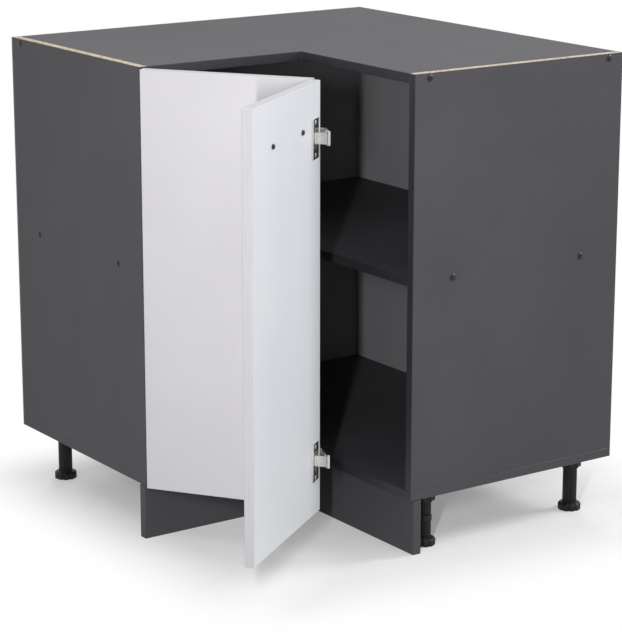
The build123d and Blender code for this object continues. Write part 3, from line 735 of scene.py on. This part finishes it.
# %% Connecting screws
JOINT_RADIUS, JOINT_LENGTH, JOINT_HEAD_RADIUS, JOINT_HEAD = 3.4, 50.0, 4.8, 4.0
SOCKET_ACROSS, SOCKET_DEPTH, CUTTER_HEIGHT = 4.4, 2.6, 5.0
rings = [(JOINT_LENGTH - JOINT_HEAD, 1.0), (0.0, JOINT_HEAD_RADIUS / JOINT_RADIUS), (JOINT_HEAD, 1.0)]
joint_screw = turn("joint_screw_model", 24, JOINT_RADIUS, rings)
lift(joint_screw, -JOINT_LENGTH)
cut(joint_screw, lift(turn("socket_cutter", 6, SOCKET_ACROSS / 2, [(CUTTER_HEIGHT, 1.0)]), -SOCKET_DEPTH))
soften(joint_screw, 0.15)
screws = copy_to(joint_screw, heads_of("carcass_screws"), "carcass_screws_socket")
fit(screws, zinc, "steel_screw", "carcass", "carcass_screws")
bpy.data.objects.remove(joint_screw)

# %% Cover caps
CAP_RADIUS = 6.3
rings = [(0.15, 1.0), (0.7, 5.3 / CAP_RADIUS), (0.62, 4.15 / 5.3), (0.5, 2.93 / 4.15), (0.3, 1.64 / 2.93),
         (0.1, 0.5)]
cap = turn("cap_model", 32, CAP_RADIUS, rings)
soften(cap, 0.1)
places = []
for points in solids_of("screw_caps"):
    _, seat, inwards = ends_of(points, SHORTEST)
    places.append((seat, -inwards))
caps = copy_to(cap, places, "domed_screw_caps")
fit(caps, cap_plastic, "cap_plastic", "carcass", "screw_caps")
bpy.data.objects.remove(cap)

# %% [markdown]
# ## Pressed hinge parts
#
# Cups, arms, plates and links are cut and folded from strip, so their edges are never quite sharp. A copy
# of each CAD node is merged, cleared of the triangles on its flat faces and given a small bevel. The bevel
# catches the bright lines that make sheet metal look like metal. The bow of the handle and the clips of
# the plinth get their rounded edges in the same way.

# %% Hinges, handle and clips
def press(node, name, width, finish, slot):
    """A copy of a CAD node with rounded edges, standing for that node."""
    piece = bpy.data.objects.new(name, nodes[node].data.copy())
    bpy.context.scene.collection.objects.link(piece)
    work_on(piece)
    bpy.ops.object.mode_set(mode="EDIT")
    bpy.ops.mesh.select_all(action="SELECT")
    bpy.ops.mesh.remove_doubles(threshold=0.001 * MM)
    bpy.ops.mesh.dissolve_limited(angle_limit=math.radians(1))
    bpy.ops.object.mode_set(mode="OBJECT")
    soften(piece, width)
    return fit(piece, finish, slot, nodes[node]["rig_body"], node)


for hinge in ("swing", "fold"):
    for part, width in (("hinge_plates", 0.35), ("hinge_arms", 0.5), ("hinge_cups", 0.25), ("couplers", 0.3),
                        ("cranks", 0.3), ("arm_pins", 0.2), ("crank_pins", 0.2), ("cup_pins", 0.2)):
        press(f"{hinge}_{part}", f"{hinge}_{part}_pressed", width, nickel, "nickel")
press("handle", "bow_handle", 0.7, brushed, "handle_metal")
press("plinth_clips", "sprung_plinth_clips", 0.4, black_plastic, "black_plastic")

# %% [markdown]
# ## Flanges of the hinge cups
#
# The flange that carries the two screws of a cup is stiffened along its far edge by a strip that slopes down
# to the door, and its ears run out square towards the edge of the door. The strip faces the light and looks
# pale, while the flat ears mirror the dark inside of the cabinet. The strip is a block whose far upper edge
# is pulled down, and the ears are two more blocks joined to it. The swing hinge's link lies across its strip
# when the door is shut, so that strip has a gap.

# %% Shapes of the flanges
FLANGE_HALF, STRIP_NEAR, STRIP_FAR, STRIP_HEIGHT, STRIP_LIP = 32.0, 8.6, 17.8, 2.7, 0.3
EAR_FAR, EAR_NEAR, EAR_OFFSET, EAR_HALF, EAR_HEIGHT = -12.2, -3.4, 22, 10, 1.25
GAP_HALF = 10.5


def block(low, high):
    """A box between two corners, shaped from a cube in edit mode."""
    work_on()
    bpy.ops.mesh.primitive_cube_add(size=MM)
    piece = bpy.context.object
    bpy.ops.object.mode_set(mode="EDIT")
    bpy.ops.transform.resize(value=[b - a for a, b in zip(low, high)])
    bpy.ops.transform.translate(value=[(a + b) / 2 * MM for a, b in zip(low, high)])
    bpy.ops.object.mode_set(mode="OBJECT")
    return piece


strip = block((STRIP_NEAR, -FLANGE_HALF, 0), (STRIP_FAR, FLANGE_HALF, STRIP_HEIGHT))
work_on(strip)
bpy.ops.object.mode_set(mode="EDIT")
shape = bmesh.from_edit_mesh(strip.data)
for corner in shape.verts:
    corner.select_set(corner.co.x > STRIP_FAR * MM - 1e-6 and corner.co.z > 1e-6)
shape.select_flush_mode()
bpy.ops.transform.translate(value=(0, 0, (STRIP_LIP - STRIP_HEIGHT) * MM))
bpy.ops.object.mode_set(mode="OBJECT")
ears = [block((EAR_FAR, middle - EAR_HALF, 0), (EAR_NEAR, middle + EAR_HALF, EAR_HEIGHT))
        for middle in (-EAR_OFFSET, EAR_OFFSET)]
work_on(strip, *ears)
bpy.ops.object.join()
gapped = copy_to(strip, [(Vector(), UP)], "gapped_strip_model")
cut(gapped, block((STRIP_NEAR - OVERCUT, -GAP_HALF, -OVERCUT),
                  (STRIP_FAR + OVERCUT, GAP_HALF, STRIP_HEIGHT + OVERCUT)))
print("strips with", len(strip.data.polygons), "and", len(gapped.data.polygons), "faces")

# %% Cup flanges
# How high a screw's head ends over the door, and how far it sits from the middle of the flange.
HEAD_TOP, SCREW_LINE = 2.8, 3
for model, hinge, body in ((gapped, "swing", "leaf_a"), (strip, "fold", "leaf_b")):
    soften(model, 0.3)
    heads = sorted(heads_of(f"{hinge}_cup_screws"), key=lambda head: head[0].z)
    normal = heads[0][1]
    across = UP.cross(normal)
    if across.dot(centre(f"{hinge}_hinge_arms") - centre(f"{hinge}_cup_screws")) > 0:
        across.negate()
    turned = Matrix((across, normal.cross(across), normal)).transposed()
    places = [((lower[0] + upper[0]) / 2 - normal * HEAD_TOP * MM - across * SCREW_LINE * MM, turned)
              for lower, upper in (heads[:2], heads[2:])]
    flanges = copy_to(model, places, f"{hinge}_cup_flanges")
    fit(flanges, nickel, "nickel", body)
    bpy.data.objects.remove(model)

# %% [markdown]
# ## Back nails
#
# The hardboard is nailed to the edges of the boards behind it. The small flat heads run in rows close to
# the edge of each back panel and along the shelf. Only the heads show, so a nail is a thin chamfered disc.

# %% Nails
NAIL_RADIUS, NAIL_STEP, NAIL_INSET, SHELF_LEVEL = 1.9, 118.0, 8.0, 469.0
SIDE_PARTS, SIDE_NAILS = 6, (1, 2, 4, 5)
nail = turn("nail_model", 12, NAIL_RADIUS, [(0.15, 1.0), (0.12, 0.75)])
places = []
for node, across, wall in (("back_panel_left", 0, Vector((0, 1, 0))),
                           ("back_panel_right", 1, Vector((1, 0, 0)))):
    low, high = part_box(node)
    rows = [low.z / MM + NAIL_INSET, SHELF_LEVEL, high.z / MM - NAIL_INSET]
    start, end = low[across] / MM + NAIL_INSET, high[across] / MM - NAIL_INSET
    count = round((end - start) / NAIL_STEP)
    spots = [(start + (end - start) * i / count, row) for row in rows for i in range(count + 1)]
    rise = (rows[2] - rows[0]) / SIDE_PARTS
    spots += [(side, rows[0] + rise * i) for side in (start, end) for i in SIDE_NAILS]
    for along, height in spots:
        point = Vector((0, 0, height * MM))
        point[across] = along * MM
        places.append((point, wall))
nails = copy_to(nail, places, "back_panel_nails")
fit(nails, zinc, "steel_screw", "carcass")
bpy.data.objects.remove(nail)

# %% [markdown]
# ## Floor and surroundings
#
# A catalogue picture stands on white paper. The floor keeps the shadow of the cabinet and turns into plain
# white further out. It throws back less light than it shows, so that the undersides stay dark. What the
# camera, metal and glass see of the surroundings is white, whatever the strength of the sky is.

# %% Rays that show something
def shown_rays(tree):
    """An output that is 1 for what the camera, a mirror or glass shows, and 0 for what lights the object."""
    rays = add_node(tree, "LightPath")
    shown = rays.outputs["Is Camera Ray"]
    for kind in ("Is Glossy Ray", "Is Transmission Ray"):
        either = add_node(tree, "Math", links={0: shown, 1: rays.outputs[kind]}, operation="MAXIMUM")
        shown = either.outputs["Value"]
    return shown


# %% Floor
FLOOR_SIZE, FLOOR_LEVEL = 40.0, -0.0002
work_on()
bpy.ops.mesh.primitive_plane_add(size=FLOOR_SIZE, location=(0, 0, FLOOR_LEVEL))
floor = bpy.context.object
floor.name = "paper_floor"
print("laid", floor.name)

# %% White paper
SHADOW_MIDDLE, SHADOW_HALF = (-0.33, -0.43, 0.0), (0.38, 0.38, 0.0)
FADE_START, FADE_END, FADE_LEAST = -0.02, 0.2, 0.24
MIX_FIRST, MIX_SECOND, MIX_RESULT = 6, 7, 2  # the colour sockets of a Mix node
paper = bpy.data.materials.new("white_paper")
paper.use_nodes = True
tree = paper.node_tree
tree.nodes.clear()
shown = shown_rays(tree)
place = add_node(tree, "TexCoord").outputs["Object"]
fibre = add_node(tree, "TexNoise", {"Scale": grains(30), "Detail": 3.0}, {"Vector": place})
tint = add_node(tree, "ValToRGB", links={"Fac": fibre.outputs["Fac"]},
                stops=[(0.3, "#f3f3f4"), (0.7, "#f6f6f7")])
offset = add_node(tree, "VectorMath", {1: SHADOW_MIDDLE}, {0: place}, operation="SUBTRACT")
mirrored = add_node(tree, "VectorMath", links={0: offset.outputs["Vector"]}, operation="ABSOLUTE")
outside = add_node(tree, "VectorMath", {1: SHADOW_HALF}, {0: mirrored.outputs["Vector"]},
                   operation="SUBTRACT")
beyond = add_node(tree, "VectorMath", {1: (0.0, 0.0, 0.0)}, {0: outside.outputs["Vector"]},
                  operation="MAXIMUM")
away = add_node(tree, "VectorMath", links={0: beyond.outputs["Vector"]}, operation="LENGTH")
fade = add_node(tree, "MapRange", {"From Min": FADE_START, "From Max": FADE_END, "To Min": FADE_LEAST},
                {"Value": away.outputs["Value"]}, interpolation_type="SMOOTHSTEP")
share = add_node(tree, "Math", links={0: fade.outputs["Result"], 1: shown}, operation="MULTIPLY")
bounce = add_node(tree, "Mix", {MIX_FIRST: srgb("#8c8c8d")}, {0: shown, MIX_SECOND: tint.outputs["Color"]},
                  data_type="RGBA")
matt = add_node(tree, "BsdfDiffuse", links={"Color": bounce.outputs[MIX_RESULT]})
white = add_node(tree, "Emission", {"Color": (1, 1, 1, 1), "Strength": 1.0})
mixed = add_node(tree, "MixShader", links={0: share.outputs["Value"], 1: matt.outputs["BSDF"],
                                           2: white.outputs["Emission"]})
add_node(tree, "OutputMaterial", links={"Surface": mixed.outputs["Shader"]})
floor.data.materials.append(paper)
print("made", paper.name)

# %% Sky
SKY_LEVEL = 0.26
sky = bpy.data.worlds.new("white_surroundings")
bpy.context.scene.world = sky
sky.use_nodes = True
tree = sky.node_tree
tree.nodes.clear()
shown = shown_rays(tree)
light = add_node(tree, "Background", {"Color": (1, 1, 1, 1), "Strength": SKY_LEVEL})
backdrop = add_node(tree, "Background", {"Color": (1, 1, 1, 1), "Strength": 1.0})
mixed = add_node(tree, "MixShader", links={0: shown, 1: light.outputs["Background"],
                                           2: backdrop.outputs["Background"]})
add_node(tree, "OutputWorld", links={"Surface": mixed.outputs["Shader"]})
bpy.context.scene.view_settings.view_transform = "Standard"
print("sky at", SKY_LEVEL)

# %% [markdown]
# ## Lamps
#
# The strongest lamp is narrow and upright and shines from near the camera's line of sight. Its shadow has a
# sharp edge, so one back wall inside stays dark while the other is lit. Three softboxes fill in from the
# sides and above, and a lamp behind lights the backs. The lamps in front and behind stay out of mirror
# images, because they would whiten the top board and burn out the hinges.

# %% Lamps
# Azimuth and elevation in degrees, distance, width and height in metres, level, and whether mirrors show it.
LAMPS = {
    "front_lamp": (39.2, 13, 2.6, 0.05, 0.5, 0.5, False),
    "left_softbox": (80, 45, 2.0, 1.0, 1.0, 0.2, True),
    "middle_softbox": (-10, 50, 2.0, 1.0, 1.0, 0.18, True),
    "right_softbox": (-70, 30, 4.0, 1.4, 1.4, 0.45, True),
    "back_lamp": (215, 25, 4.0, 1.6, 1.6, 0.32, False),
}
low, high = (Vector(corner) for corner in cad_box)
middle = (low + high) / 2
for name, (azimuth, elevation, distance, width, height, level, mirrored) in LAMPS.items():
    a, e = math.radians(azimuth), math.radians(elevation)
    away = Vector((-math.sin(a) * math.cos(e), -math.cos(a) * math.cos(e), math.sin(e)))
    light = bpy.data.lights.new(name, "AREA")
    light.shape, light.size, light.size_y = "ELLIPSE", width, height
    # A white card that faces the lamp from the cabinet's middle renders at the level.
    light.energy = level * (math.pi * distance) ** 2
    lamp = bpy.data.objects.new(name, light)
    lamp.location = middle + away * distance
    lamp.rotation_euler = (-away).to_track_quat("-Z", "Y").to_euler()
    lamp.visible_glossy = mirrored
    bpy.context.scene.collection.objects.link(lamp)
    print(name, round(light.energy), "W")

# %% [markdown]
# ## Finishing
#
# The last cell goes back to object mode with nothing selected. Nothing here may make the cabinet bigger
# than the CAD says.

# %% Last step
work_on()
